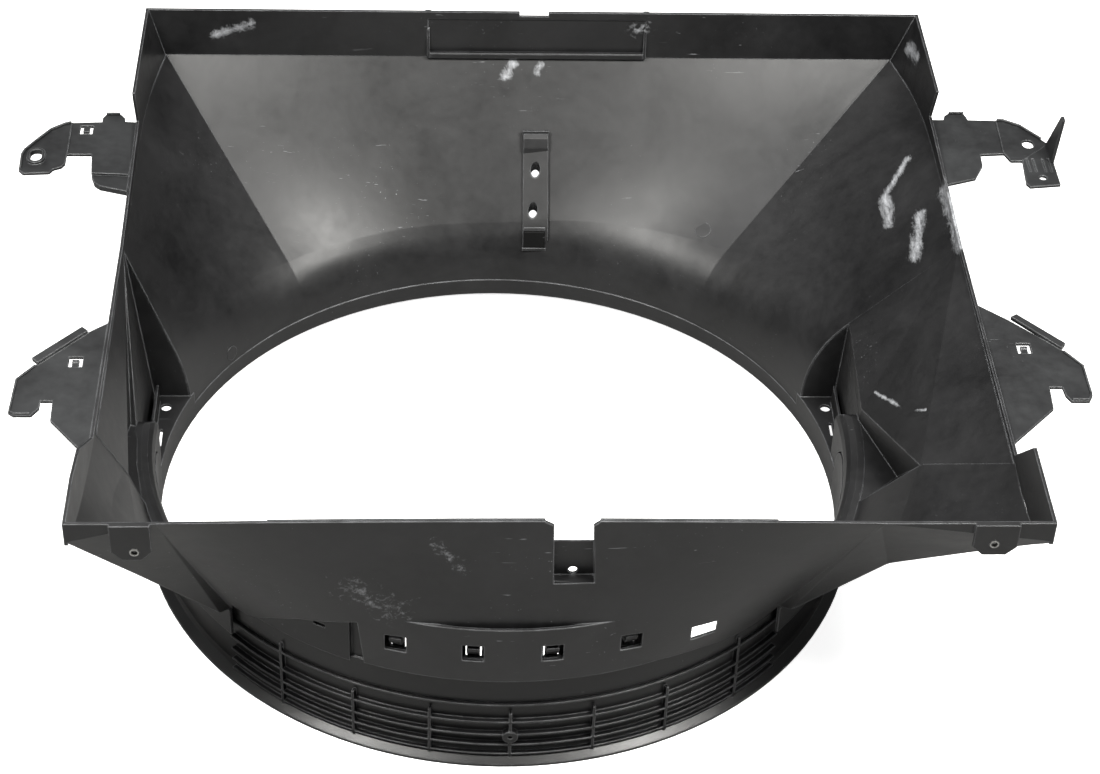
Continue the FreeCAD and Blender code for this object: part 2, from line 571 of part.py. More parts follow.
def right_facets():
    """Slope, pocket wall and the three-sided recess beside the right lobe."""
    push = side_push(1.0)
    head = side_head(POCKET_Y, 1.0)
    foot_x = RING_RADIUS * math.sin(math.radians(pocket_angle()))
    throat = throat_height(pocket_angle())
    share = (RIGHT_APEX_X - foot_x) / (head.x - foot_x)
    apex = vec(RIGHT_APEX_X, POCKET_Y, throat + (head.z - throat) * share)
    path = corner_points(1.0, 2)
    lobe_edge, knee, corner_head = path[2], path[3], path[4]
    crest = vec(*RIGHT_CREST)
    tip = vec(*RIGHT_TIP)
    floor_corner = vec(*RIGHT_FLOOR_CORNER)
    behind = [vec(x, y, RIGHT_TIP[2]) for x, y in LOBE_BACK]
    tail = vec(RIGHT_TIP[0] - 1.5, RIGHT_LOBE_END - 2.0, 70.0)
    floor_near = vec(POCKET_FOOT + 1.0, RIGHT_LOBE_END - 2.0, SHELF_TOP - WALL)
    floor_far = vec(POCKET_FOOT - 1.0, POCKET_Y, SHELF_TOP - WALL)
    return [sheet([head, corner_head, knee, crest, apex], push),
            sheet([apex, crest, tip, tail, floor_near, floor_far], push),
            sheet([crest, tip, floor_corner, knee], push),
            sheet([knee, floor_corner, lobe_edge], push),
            sheet([floor_corner, lobe_edge] + behind + [tip], push)]


def left_facets():
    """Slope, pocket wall and the recess beside the left lobe."""
    push = side_push(-1.0)
    head = side_head(POCKET_Y, -1.0)
    path = corner_points(-1.0, 2)
    lobe_edge, knee, corner_head = path[2], path[3], path[4]
    valley = vec(*LEFT_VALLEY)
    corner = vec(*LEFT_CORNER)
    tip = vec(*LEFT_TIP)
    behind = [vec(-x, y, LEFT_CORNER[2]) for x, y in LOBE_BACK]
    tail = vec(LEFT_TIP[0] + 0.5, LEFT_LOBE_END - 4.0, 75.0)
    floor_near = vec(-POCKET_FOOT - 3.0, LEFT_LOBE_END - 1.5, SHELF_TOP - WALL)
    floor_far = vec(-POCKET_FOOT - 1.0, POCKET_Y, SHELF_TOP - WALL)
    return [sheet([head, corner_head, knee, valley, corner, tip, tail, floor_near, floor_far], push),
            sheet([valley, lobe_edge] + behind + [tip, corner], push),
            sheet([valley, knee, lobe_edge], push)]


# ---------------------------------------------------------------- near wall
def rim_point(x):
    """Inner edge of the near rim at an X; the rim bows in towards its middle."""
    middle = (WALL_LEFT + WALL_RIGHT) / 2.0
    reach = (WALL_RIGHT - WALL_LEFT) / 2.0
    bow = RIM_BOW * (1.0 - ((x - middle) / reach) ** 2)
    return vec(x, RIM_NEAR + WALL + bow, RIM_HEIGHT)


def rim_bead():
    """Low bead along the middle of the near rim."""
    start, end, near, far, height = BEAD
    sections = []
    for x in spread(start, end, 9):
        edge = rim_point(x)
        sections.append(polygon([edge + vec(0, -near, -1.0), edge + vec(0, -far, -1.0),
                                 edge + vec(0, -far, height), edge + vec(0, -near, height)]))
    return Part.makeLoft(sections, True, False)


def near_wall():
    """Near wall: hugs the ring at its hem and straightens towards the rim."""
    sections = []
    reach = LOBE_RADIUS * math.sin(math.radians(HEM_ANGLE))
    for angle in spread(-HEM_ANGLE, HEM_ANGLE, 13):
        rim = WALL_RIGHT if angle > 0 else -WALL_LEFT
        inner = near_point(angle, LOBE_RADIUS, HEM_HEIGHT)
        outer = near_point(angle, LOBE_RADIUS + WALL, HEM_HEIGHT)
        crest = rim_point(inner.x * rim / reach)
        out = (outer - inner) * (1.0 / math.cos(math.radians(angle)))
        sections.append(polygon([inner, crest, crest + out, outer]))
    wall = Part.makeLoft(sections, True, False)
    left, right, foot, top, thick = STRIP
    face = LOBE_RADIUS + WALL
    pad = near_sector(ring_wall(foot, top, face - 1.0, thick + 1.0), left, right)
    return wall.fuse([pad, rim_bead()])


def near_cuts():
    """Openings of the near wall: hem line, latch windows, sight window and notch."""
    start = vec(0, RIM_NEAR - THROUGH, 0)
    reach = vec(0, 4.0 * THROUGH, 0)
    hem = [vec(x, 0, z) + start for x, z in HEM_LINE]
    hem += [vec(HEM_LINE[-1][0], 0, 0) + start, vec(HEM_LINE[0][0], 0, 0) + start]
    tools = [prism(hem, reach)]
    half = LATCH_WINDOW / 2.0
    boxes = [(x - half, x + half, LATCH_Z - half, LATCH_Z + half) for x in LATCH_X]
    for left, right, foot, top in boxes + [SIGHT_WINDOW]:
        tools.append(prism(upright(((left, foot), (right, foot), (right, top), (left, top)), start.y),
                           reach))
    tools.append(prism(upright(NOTCH, start.y), vec(0, THROUGH + 4.0 * WALL, 0)))
    return Part.makeCompound(tools)


def upright(outline, y):
    """Points of an (X, Z) outline in the upright plane at Y."""
    return [vec(x, y, z) for x, z in outline]


def notch_box():
    """Shallow box behind the notch in the near rim: floor, cheeks and a low back with a hole."""
    grow = NOTCH_WALL
    foot = NOTCH[3][1]
    outer = [(NOTCH[2][0] - grow, NOTCH_CHEEK_TOP), (NOTCH[3][0] - grow, foot - grow)]
    outer += [(NOTCH[4][0] + grow, foot - grow), (NOTCH[5][0] + grow, NOTCH_CHEEK_TOP)]
    depth = NOTCH_BACK + grow - NOTCH_FACE
    box = prism(upright(outer, NOTCH_FACE), vec(0, depth, 0))
    box = box.cut(prism(upright(NOTCH[2:6], NOTCH_FACE - 1.0), vec(0, depth + 1.0 - grow, 0)))
    left, right = outer[1][0] - grow, outer[2][0] + grow
    slope = [(NOTCH_FACE - 1.0, NOTCH_CHEEK_TOP), (NOTCH_BACK + grow + 1.0, NOTCH_PANEL_TOP - 4.0),
             (NOTCH_BACK + grow + 1.0, RIM_HEIGHT + grow), (NOTCH_FACE - 1.0, RIM_HEIGHT + grow)]
    box = box.cut(prism([vec(left, y, z) for y, z in slope], vec(right - left, 0, 0)))
    x, z, radius = NOTCH_HOLE
    return box.cut(Part.makeCylinder(radius, THROUGH, vec(x, NOTCH_FACE, z), vec(0, 1, 0)))


def wing(side):
    """Flat panel between the near wall and the near corner."""
    rim_x = WALL_RIGHT if side > 0 else WALL_LEFT
    hopper = RIM_RIGHT if side > 0 else RIM_LEFT
    inner_y = RIM_NEAR + WALL
    path = corner_points(side, 0)
    start = vec(rim_x - side * 2.0, inner_y, RIM_HEIGHT)
    corner = vec(hopper - side, inner_y, RIM_HEIGHT)
    head = vec(hopper - side, inner_y, path[4].z)
    foot = path[1] - vec(side * 2.0, 0, 0)
    return sheet([start, corner, head, path[4], path[3], path[2], foot], vec(0, -WALL, 0))


def screw_tabs():
    """Two small upright tabs hanging from the near rim."""
    tabs = []
    for left, right, foot, x, z in TABS:
        low = foot + TAB_CORNER
        outline = [(left, RIM_HEIGHT), (left, low), (left + TAB_CORNER, foot)]
        outline += [(right - TAB_CORNER, foot), (right, low), (right, RIM_HEIGHT)]
        tab = prism(upright(outline, RIM_NEAR - WALL), vec(0, WALL, 0))
        root = Part.makeBox(right - left, 2.0 * WALL, 4.0)
        root.translate(vec(left, RIM_NEAR - WALL, RIM_HEIGHT - 4.0))
        bore = Part.makeCylinder(TAB_HOLE, THROUGH, vec(x, RIM_NEAR - THROUGH / 2.0, z), vec(0, 1, 0))
        tabs.append(tab.fuse(root).cut(bore))
    return tabs


def upper_shroud():
    """The hopper with the far half of the ring, in one moulding."""
    pieces = far_ring() + hopper_slopes() + skirts()
    for side in (1.0, -1.0):
        pieces += pocket_base(side) + [lobe(side), near_corner(side), wing(side)]
    pieces += right_facets() + left_facets()
    pieces.append(near_wall().cut(near_cuts()))
    pieces += [notch_box()] + screw_tabs()
    return fuse(pieces)


# ---------------------------------------------------------------- near half of the ring
def turned_near(shape, angle):
    """A piece drawn at the near side, turned to its near angle."""
    shape.rotate(vec(0, 0, 0), vec(0, 0, 1), angle)
    return shape


def latch_angle(x):
    """Near angle of a latch from its X on the wall."""
    return math.degrees(math.asin(x / (LOBE_RADIUS + WALL)))


def half_end_tool(side):
    """Cuts the top corner of the ring half's end to a quarter round."""
    end = RING_RADIUS * math.cos(math.radians(RING_SPLIT))
    radius = HALF_TOP - SHELF_TOP
    centre_y = end - radius
    block = Part.makeBox(100.0, 2.0 * radius, 2.0 * radius, vec(0, centre_y, SHELF_TOP))
    drum = Part.makeCylinder(radius, 100.0, vec(0, centre_y, SHELF_TOP), vec(1, 0, 0))
    tool = block.cut(drum)
    tool.translate(vec(300.0 if side > 0 else -400.0, 0, 0))
    return tool


def lower_ring():
    """Removable near half of the ring, ribbed on the outside, with slots for the latches."""
    split = RING_SPLIT + SPLIT_GAP
    outer = RING_RADIUS + WALL
    reach = 180.0 - split
    pieces = [near_sector(lipped_wall(HALF_TOP), -reach, reach)]
    start, end = HALF_MIDDLE_ANGLES
    pieces.append(near_sector(ring_wall(HALF_TOP - 1.0, HALF_MIDDLE), start, end))
    low, high, radius = BAND
    pieces.append(near_sector(ring_wall(low, high, outer - 1.0, radius - outer + 1.0), -RIB_REACH,
                              RIB_REACH))
    for level in RIB_LEVELS:
        rib = ring_wall(level, level + RIB_THICK, outer - 1.0, RIB_DEPTH - outer + 1.0)
        pieces.append(near_sector(rib, -RIB_REACH, RIB_REACH))
    for angle in UPRIGHTS:
        top = UPRIGHT_TOP if abs(angle) < 30.0 else OUTER_UPRIGHT_TOP
        depth = RIB_DEPTH - outer + 1.0
        rib = Part.makeBox(UPRIGHT_THICK, depth, top - 6.0)
        rib.translate(vec(-UPRIGHT_THICK / 2.0, -RIB_DEPTH, 6.0))
        pieces.append(turned_near(rib, angle))
    start, end, foot, top, radius = PANEL
    pieces.append(near_sector(ring_wall(foot, top, outer - 1.0, radius - outer + 1.0), start, end))
    angle, height, radius, bore = BOSS
    depth = RIB_DEPTH + 1.0 - outer
    boss = Part.makeCylinder(radius, depth + 1.0, vec(0, 1.0 - outer, height), vec(0, -1, 0))
    pieces.append(turned_near(boss, angle))
    whole = fuse(pieces)
    drill = Part.makeCylinder(bore, THROUGH, vec(0, -RING_RADIUS + 5.0, height), vec(0, -1, 0))
    tools = [turned_near(drill, angle)]
    angle, height, width, tall = PANEL_SLOT
    slot = Part.makeBox(width, THROUGH, tall)
    slot.translate(vec(-width / 2.0, -RING_RADIUS - THROUGH / 2.0, height - tall / 2.0))
    tools.append(turned_near(slot, angle))
    for x in LATCH_X:
        opening = Part.makeBox(TONGUE_SLOT, THROUGH, TONGUE_TOP + 1.0 - TONGUE_FOOT)
        opening.translate(vec(-TONGUE_SLOT / 2.0, -RING_RADIUS - THROUGH / 2.0, TONGUE_FOOT))
        tools.append(turned_near(opening, latch_angle(x)))
    tools += [half_end_tool(1.0), half_end_tool(-1.0)]
    return whole.cut(Part.makeCompound(tools))


def latch_tongue(x):
    """Springy tongue of the ring half with the hook that snaps into the strip's window."""
    foot, top, reach = HOOK
    plate = Part.makeBox(TONGUE_WIDTH, WALL - 0.4, TONGUE_TOP - TONGUE_FOOT - GAP)
    plate.translate(vec(-TONGUE_WIDTH / 2.0, -RING_RADIUS - WALL + 0.2, TONGUE_FOOT + GAP))
    depth = reach - RING_RADIUS - 1.0
    outline = [vec(-TONGUE_WIDTH / 2.0, -RING_RADIUS - 1.0, foot),
               vec(-TONGUE_WIDTH / 2.0, -reach + 3.0, foot),
               vec(-TONGUE_WIDTH / 2.0, -reach, top - 3.0),
               vec(-TONGUE_WIDTH / 2.0, -reach, top),
               vec(-TONGUE_WIDTH / 2.0, -reach + depth, top)]
    hook = prism(outline, vec(TONGUE_WIDTH, 0, 0))
    return turned_near(fuse([plate, hook]), latch_angle(x))


# ---------------------------------------------------------------- brackets
def plate(outline, top, thickness=PLATE):
    """Flat plate under a height."""
    return prism([vec(x, y, top - thickness) for x, y in outline], vec(0, 0, thickness))


def oblong(x, y, width, length, foot, height):
    """Upright prism with rounded ends, long in Y."""
    radius = width / 2.0
    straight = length - width
    body = Part.makeBox(width, straight, height, vec(x - radius, y - straight / 2.0, foot))
    ends = [Part.makeCylinder(radius, height, vec(x, y + turn * straight / 2.0, foot))
            for turn in (-1.0, 1.0)]
    return body.multiFuse(ends)


def lock_opening(lock, top):
    """Slot in a bracket plate round a lock tongue."""
    x, root, way = lock
    width, length = LOCK_SLOT
    start = root if way > 0 else root - length
    return Part.makeBox(width, length, 4.0 * PLATE, vec(x - width / 2.0, start, top - 3.0 * PLATE))


def lock_tongue(lock, top):
    """Springy tongue in a bracket plate with a low catch across its free end."""
    x, root, way = lock
    length = LOCK_SLOT[1] - GAP - LOCK_GAP
    start = root + GAP if way > 0 else root - GAP - length
    tongue = Part.makeBox(LOCK_WIDTH, length, PLATE - 1.0, vec(x - LOCK_WIDTH / 2.0, start, top - PLATE))
    catch_y = start + length - 3.0 if way > 0 else start
    catch = Part.makeBox(LOCK_WIDTH, 3.0, PLATE, vec(x - LOCK_WIDTH / 2.0, catch_y, top - PLATE))
    return fuse([tongue, catch])


def upper_left_bracket():
    """Stepped plate with a down-turned lug, a raised rib and a lock slot."""
    lug = plate(UPPER_LEFT_LUG, UPPER_LEVEL - PLATE + 1.0, 2.0 * PLATE)
    whole = fuse([plate(UPPER_LEFT, UPPER_LEVEL), lug])
    return whole.cut(lock_opening(UPPER_LEFT_LOCK, UPPER_LEVEL))


def upper_left_bolt_ear():
    """Ear with an oblong bolt bush."""
    x, y, width, length = LEFT_EAR_HOLE
    grow = 2.0 * LEFT_BUSH_WALL
    bush = oblong(x, y, width + grow, length + grow, UPPER_LEVEL - PLATE, PLATE + BORDER)
    whole = fuse([plate(LEFT_EAR, UPPER_LEVEL), bush])
    return whole.cut(oblong(x, y, width, length, UPPER_LEVEL - 3.0 * PLATE, THROUGH))


def upper_right_bracket():
    """Stepped plate that carries the right bolt ear."""
    return plate(UPPER_RIGHT, UPPER_LEVEL)


def upper_right_bolt_ear():
    """Ear with a rounded bolt hole."""
    x, y, width, length = RIGHT_EAR_HOLE
    return plate(RIGHT_EAR, UPPER_LEVEL).cut(oblong(x, y, width, length, UPPER_LEVEL - 9.0, THROUGH))


def line_clip_pad():
    """Grooved pad outboard of the right ear."""
    pad = plate(CLIP_PAD, UPPER_LEVEL)
    x, y, radius = CLIP_PAD_HOLE
    tools = [Part.makeCylinder(radius, THROUGH, vec(x, y, UPPER_LEVEL - THROUGH / 2.0))]
    for groove in CLIP_GROOVES:
        tools.append(Part.makeBox(2.0, 24.0, 1.0, vec(groove - 1.0, 240.0, UPPER_LEVEL - 1.0)))
    return pad.cut(Part.makeCompound(tools))


def line_clip_arm():
    """Upright springy fin at the pad's outer edge."""
    x = CLIP_PAD[1][0] - PLATE
    points = [vec(x, y, UPPER_LEVEL + GAP + z) for y, z in CLIP_ARM]
    return prism(points, vec(PLATE, 0, 0))


def lower_left_bracket():
    """Hooked foot plate with a raised bar and a lock slot."""
    bar = plate(LOWER_LEFT_BAR, LEFT_LEVEL + BORDER, BORDER + 1.0)
    return fuse([plate(LOWER_LEFT, LEFT_LEVEL), bar]).cut(lock_opening(LOWER_LEFT_LOCK, LEFT_LEVEL))


def lower_right_bracket():
    """Mirror-like hooked foot plate on the right."""
    bar = plate(LOWER_RIGHT_BAR, RIGHT_LEVEL + BORDER, BORDER + 1.0)
    whole = fuse([plate(LOWER_RIGHT, RIGHT_LEVEL), bar])
    return whole.cut(lock_opening(LOWER_RIGHT_LOCK, RIGHT_LEVEL))


def hose_strap(shroud):
    """Flat strap lying on the far slope, with two round holes."""
    left, right, low, high, thickness = STRAP
    sections = []
    for x in (left, right):
        angle = math.degrees(math.asin(x / RING_RADIUS))
        foot = ring_point(angle, RING_RADIUS + LEDGE)
        head = vec(x, RIM_FAR - WALL, SILL_HEIGHT)
        run = head.y - foot.y
        throat = throat_height(angle)
        path = [(0.0, RING_TOP), (0.0, throat), (run, SILL_HEIGHT)]
        sections.append(wall_section(foot, head, path, [throat * THROAT_EASE], thickness + 1.0,
                                     -thickness))
    blank = Part.makeLoft(sections, True, False)
    keep = Part.makeBox(2.0 * RING_RADIUS, high - low, 2.0 * SILL_HEIGHT, vec(-RING_RADIUS, low, 0))
    blank = blank.common(keep)
    holes = [Part.makeCylinder(radius, 2.0 * SILL_HEIGHT, vec(x, y, 0)) for x, y, radius in STRAP_HOLES]
    return blank.cut(Part.makeCompound(holes + [shroud]))


def drilled(shroud):
    """The shroud with the strap's holes carried through its slope."""
    tools = [Part.makeCylinder(radius + STRAP_HOLE_ROOM, SILL_HEIGHT, vec(x, y, LIP_HEIGHT))
             for x, y, radius in STRAP_HOLES]
    return shroud.cut(Part.makeCompound(tools))


def tab_inserts():
    """Metal sleeves in the two screw tabs."""
    sleeves = []
    for left, right, foot, x, z in TABS:
        start = vec(x, RIM_NEAR - WALL - 0.5, z)
        sleeve = Part.makeCylinder(TAB_HOLE, WALL + 0.5, start, vec(0, 1, 0))
        sleeves.append(sleeve.cut(Part.makeCylinder(INSERT_BORE, WALL + 0.5, start, vec(0, 1, 0))))
    return Part.makeCompound(sleeves)


# ---------------------------------------------------------------- the parts
os.makedirs("parts", exist_ok=True)
shroud = upper_shroud()
nodes = {"upper_shroud": drilled(shroud), "lower_ring": lower_ring(),
         "upper_left_bracket": upper_left_bracket(), "upper_left_bolt_ear": upper_left_bolt_ear(),
         "upper_right_bracket": upper_right_bracket(),
         "upper_right_bolt_ear": upper_right_bolt_ear(), "line_clip_pad": line_clip_pad(),
         "line_clip_arm": line_clip_arm(), "lower_left_bracket": lower_left_bracket(),
         "lower_right_bracket": lower_right_bracket(), "hose_strap": hose_strap(shroud),
         "tab_inserts": tab_inserts()}
for number, x in enumerate(LATCH_X, 1):
    nodes[f"latch_tongue_{number}"] = latch_tongue(x)
nodes["upper_left_lock_tongue"] = lock_tongue(UPPER_LEFT_LOCK, UPPER_LEVEL)
nodes["lower_left_lock_tongue"] = lock_tongue(LOWER_LEFT_LOCK, LEFT_LEVEL)
nodes["lower_right_lock_tongue"] = lock_tongue(LOWER_RIGHT_LOCK, RIGHT_LEVEL)
for name, shape in nodes.items():
    print(name, shape.ShapeType, len(shape.Solids), shape.isValid(), round(shape.Volume))
    shape.exportStep(f"parts/{name}.step")
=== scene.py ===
"""Looks of the radiator fan shroud: moulded black plastic on a pale studio floor.

The part's own frame: +Z is the fan's axis, the shroud stands on the lip of its ring at Z = 0,
+Y is the far side and -Y the near side with the snap strip. Shapes and patterns are given in mm
and multiplied by MM where they are made. Lamps, floor and camera are in metres.
"""

import bpy
import bmesh
import json
import math
import numpy as np
from mathutils import Matrix, Vector


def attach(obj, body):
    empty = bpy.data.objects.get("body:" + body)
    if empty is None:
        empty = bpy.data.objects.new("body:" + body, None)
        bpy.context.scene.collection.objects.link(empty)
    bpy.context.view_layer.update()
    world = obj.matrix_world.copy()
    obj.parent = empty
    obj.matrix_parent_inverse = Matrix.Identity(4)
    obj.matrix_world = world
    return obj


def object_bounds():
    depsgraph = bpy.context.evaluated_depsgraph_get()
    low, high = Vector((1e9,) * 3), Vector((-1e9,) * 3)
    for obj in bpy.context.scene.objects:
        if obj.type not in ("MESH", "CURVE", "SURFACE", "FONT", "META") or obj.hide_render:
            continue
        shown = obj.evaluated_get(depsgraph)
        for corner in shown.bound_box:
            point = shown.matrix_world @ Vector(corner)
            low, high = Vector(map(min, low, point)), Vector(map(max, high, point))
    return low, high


MM = 0.001

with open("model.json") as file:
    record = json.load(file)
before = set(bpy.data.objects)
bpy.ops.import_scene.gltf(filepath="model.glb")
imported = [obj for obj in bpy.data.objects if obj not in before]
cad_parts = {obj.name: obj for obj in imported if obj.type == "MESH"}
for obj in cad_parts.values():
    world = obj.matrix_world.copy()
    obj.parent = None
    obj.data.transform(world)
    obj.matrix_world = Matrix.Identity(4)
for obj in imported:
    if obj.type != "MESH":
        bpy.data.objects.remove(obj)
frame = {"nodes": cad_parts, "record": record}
cad_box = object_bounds()

# Node kinds that the materials use often
NOISE = "ShaderNodeTexNoise"
RAMP = "ShaderNodeValToRGB"
MATH = "ShaderNodeMath"
VECTOR_MATH = "ShaderNodeVectorMath"


# ---------------------------------------------------------------- colours and nodes
def linear(hexcode):
    """Linear RGBA from an sRGB hex value: v/12.92 below 0.04045, else ((v+0.055)/1.055)^2.4."""
    parts = [int(hexcode[i:i + 2], 16) / 255.0 for i in (1, 3, 5)]
    toned = [v / 12.92 if v <= 0.04045 else ((v + 0.055) / 1.055) ** 2.4 for v in parts]
    return (*toned, 1.0)


def add(tree, kind, sockets=None, out=0, stops=(), **settings):
    """Adds one node and returns one of its outputs.

    sockets maps an input's name or number to a value or to another node's output, settings are
    the node's own properties, and stops are a colour ramp's (position, hex or grey) pairs.
    """
    node = tree.nodes.new(kind)
    for name, value in settings.items():
        setattr(node, name, value)
    for key, value in (sockets or {}).items():
        if isinstance(value, bpy.types.NodeSocket):
            tree.links.new(value, node.inputs[key])
        else:
            node.inputs[key].default_value = value
    if stops:
        band = node.color_ramp.elements
        while len(band) < len(stops):
            band.new(0.5)
        for element, (place, value) in zip(band, stops):
            element.position = place
            element.color = linear(value) if isinstance(value, str) else (value, value, value, 1.0)
    return node.outputs[out]


def per_mm(size):
    """Texture scale at which a pattern's blotches are about size mm across."""
    return 1.0 / (size * MM)


def new_material(name):
    """Empty material: itself, its tree, its shader and the object's own coordinates."""
    material = bpy.data.materials.new(name)
    material.use_nodes = True
    tree = material.node_tree
    place = add(tree, "ShaderNodeTexCoord", out="Object")
    return material, tree, tree.nodes["Principled BSDF"], place


# ---------------------------------------------------------------- wear and painted edge highlights
EDGE_RADIUS = 2.0           # mm over which moulded edges look rounded
EDGE_SAMPLES = 4


def rounded_edges(tree):
    """Rounded normal, and a factor that rises to 1 on sharp edges, where the rounded normal
    leaves the true one."""
    soft = add(tree, "ShaderNodeBevel", {"Radius": EDGE_RADIUS * MM}, samples=EDGE_SAMPLES)
    true = add(tree, "ShaderNodeNewGeometry", out="Normal")
    along = add(tree, VECTOR_MATH, {0: soft, 1: true}, out="Value", operation="DOT_PRODUCT")
    return soft, add(tree, RAMP, {"Fac": along}, stops=((0.80, 1.0), (0.97, 0.0)))


def scratches(tree, place, turn, stretch, size, low, high):
    """Thin scratches that run one way: cloudy noise turned by degrees and drawn out, of which
    only the crests between low and high stay."""
    settings = {"Vector": place, "Rotation": tuple(math.radians(a) for a in turn), "Scale": stretch}
    drawn = add(tree, "ShaderNodeMapping", settings)
    lines = add(tree, NOISE, {"Vector": drawn, "Scale": per_mm(size), "Detail": 3.0,
                              "Roughness": 0.7, "Distortion": 0.3})
    return add(tree, RAMP, {"Fac": lines}, stops=((low, 0.0), (high, 1.0)))


def rub_line(tree, place, start, end, width, strength):
    """Factor that is strength on the line from start to end and 0 at width from it, in mm: the
    distance to the nearest point of the line, which is the clamped foot of the perpendicular."""
    first = Vector(start) * MM
    run = Vector(end) * MM - first
    away = add(tree, VECTOR_MATH, {0: place, 1: first}, operation="SUBTRACT")
    share = add(tree, VECTOR_MATH, {0: away, 1: run / run.length_squared}, out="Value",
                operation="DOT_PRODUCT")
    held = add(tree, "ShaderNodeClamp", {0: share})
    foot = add(tree, VECTOR_MATH, {0: run, "Scale": held}, operation="SCALE")
    gap = add(tree, VECTOR_MATH, {0: away, 1: foot}, operation="SUBTRACT")
    span = add(tree, VECTOR_MATH, {0: gap}, out="Value", operation="LENGTH")
    near = add(tree, MATH, {0: span, 1: -1.0 / (width * MM), 2: 1.0}, operation="MULTIPLY_ADD")
    return add(tree, MATH, {0: near, 1: strength, 2: 0.0}, operation="MULTIPLY_ADD")


def rub_marks(tree, place, marks):
    """Broken pale marks of rubbing along a list of (start, end, width, strength) lines."""
    nearest = None
    for mark in marks:
        one = rub_line(tree, place, *mark)
        nearest = one if nearest is None else add(tree, MATH, {0: nearest, 1: one}, operation="MAXIMUM")
    turn = tuple(math.radians(a) for a in (0, 30, 20))
    drawn = add(tree, "ShaderNodeMapping", {"Vector": place, "Rotation": turn, "Scale": (1.0, 0.35, 1.0)})
    torn = add(tree, NOISE, {"Vector": drawn, "Scale": per_mm(7.0), "Detail": 6.0, "Roughness": 0.8,
                             "Distortion": 0.5})
    reach = add(tree, MATH, {0: nearest, 1: 0.45, 2: torn}, operation="MULTIPLY_ADD")
    return add(tree, RAMP, {"Fac": reach}, stops=((0.62, 0.0), (1.02, 0.8)))


# ---------------------------------------------------------------- materials
def moulded_plastic(name, dark, light, rub_and_highlight, rough, scuffs, edges=0.4, shine=0.5, marks=()):
    """Black talc-filled polypropylene or polyamide, injection moulded: satin, mottled where the
    melt flowed, with pale hairline scratches, small nicks and a pale bloom on sharp edges, partly dust on
    rubbed edges and partly a painted highlight along them.

    dark, light and rub_and_highlight are its colours, rough its mean roughness, scuffs and edges the
    strength of its scratches and of its edge bloom of dust and painted highlight, and shine its specular
    level.
    """
    material, tree, shader, place = new_material(name)
    clouds = add(tree, NOISE, {"Vector": place, "Scale": per_mm(90.0), "Detail": 5.0,
                               "Roughness": 0.6, "Distortion": 0.6})
    mottle = add(tree, NOISE, {"Vector": place, "Scale": per_mm(11.0), "Detail": 4.0,
                               "Roughness": 0.65, "Distortion": 0.0})
    shade = add(tree, MATH, {0: mottle, 1: 0.4, 2: clouds}, operation="MULTIPLY_ADD")
    base = add(tree, RAMP, {"Fac": shade}, stops=((0.45, dark), (0.95, light)))

    # Scratches and nicks lie in patches
    patchy = add(tree, NOISE, {"Vector": place, "Scale": per_mm(150.0), "Detail": 2.0,
                               "Roughness": 0.5, "Distortion": 0.0})
    patch = add(tree, RAMP, {"Fac": patchy}, stops=((0.5, 0.0), (0.68, scuffs)))
    across = scratches(tree, place, (0, 0, 34), (0.25, 5.0, 1.6), 11.0, 0.70, 0.73)
    down = scratches(tree, place, (25, 0, -52), (0.2, 4.5, 4.5), 13.0, 0.71, 0.74)
    dots = add(tree, NOISE, {"Vector": place, "Scale": per_mm(2.6), "Detail": 2.0,
                             "Roughness": 0.5, "Distortion": 0.0})
    nicks = add(tree, RAMP, {"Fac": dots}, stops=((0.735, 0.0), (0.76, 0.8)))
    lines = add(tree, MATH, {0: across, 1: down}, operation="MAXIMUM")
    damage = add(tree, MATH, {0: lines, 1: nicks}, operation="MAXIMUM")
    damage = add(tree, MATH, {0: damage, 1: patch}, operation="MULTIPLY")

    # Pale bloom on the edges, broken up: partly dust on rubbed edges, partly a painted highlight along them
    normal, edge = rounded_edges(tree)
    edge_patch_noise = add(tree, NOISE, {"Vector": place, "Scale": per_mm(22.0), "Detail": 3.0,
                              "Roughness": 0.6, "Distortion": 0.0})
    dust_and_highlight = add(tree, RAMP, {"Fac": edge_patch_noise}, stops=((0.35, 0.15), (0.7, edges)))
    edge_dust_and_highlight = add(tree, MATH, {0: edge, 1: dust_and_highlight}, operation="MULTIPLY")
    wear_and_highlight = add(tree, MATH, {0: damage, 1: edge_dust_and_highlight}, operation="MAXIMUM")
    if marks:
        wear_and_highlight = add(tree, MATH, {0: wear_and_highlight, 1: rub_marks(tree, place, marks)}, operation="MAXIMUM")
    colour = add(tree, "ShaderNodeMix", {0: wear_and_highlight, 6: base, 7: linear(rub_and_highlight)}, out=2, data_type="RGBA")
    tree.links.new(colour, shader.inputs["Base Color"])

    # The mottling also shows in the shine; its factor has a mean of about 0.7
    dulled = add(tree, MATH, {0: shade, 1: 0.24, 2: rough - 0.168}, operation="MULTIPLY_ADD")
    tree.links.new(dulled, shader.inputs["Roughness"])
    shader.inputs["IOR"].default_value = 1.49
    shader.inputs["Specular IOR Level"].default_value = shine

    # Fine moulded grain and slow ripples, drawn coarser than the real grain so that they show
    grain = add(tree, NOISE, {"Vector": place, "Scale": per_mm(0.9), "Detail": 2.0,
                              "Roughness": 0.5, "Distortion": 0.0})
    ripple = add(tree, NOISE, {"Vector": place, "Scale": per_mm(26.0), "Detail": 2.0,
                               "Roughness": 0.5, "Distortion": 0.0})
    height = add(tree, MATH, {0: ripple, 1: 6.0, 2: grain}, operation="MULTIPLY_ADD")
    bump = add(tree, "ShaderNodeBump", {"Strength": 0.35, "Distance": 0.12 * MM, "Height": height,
                                        "Normal": normal})
    tree.links.new(bump, shader.inputs["Normal"])
    return material


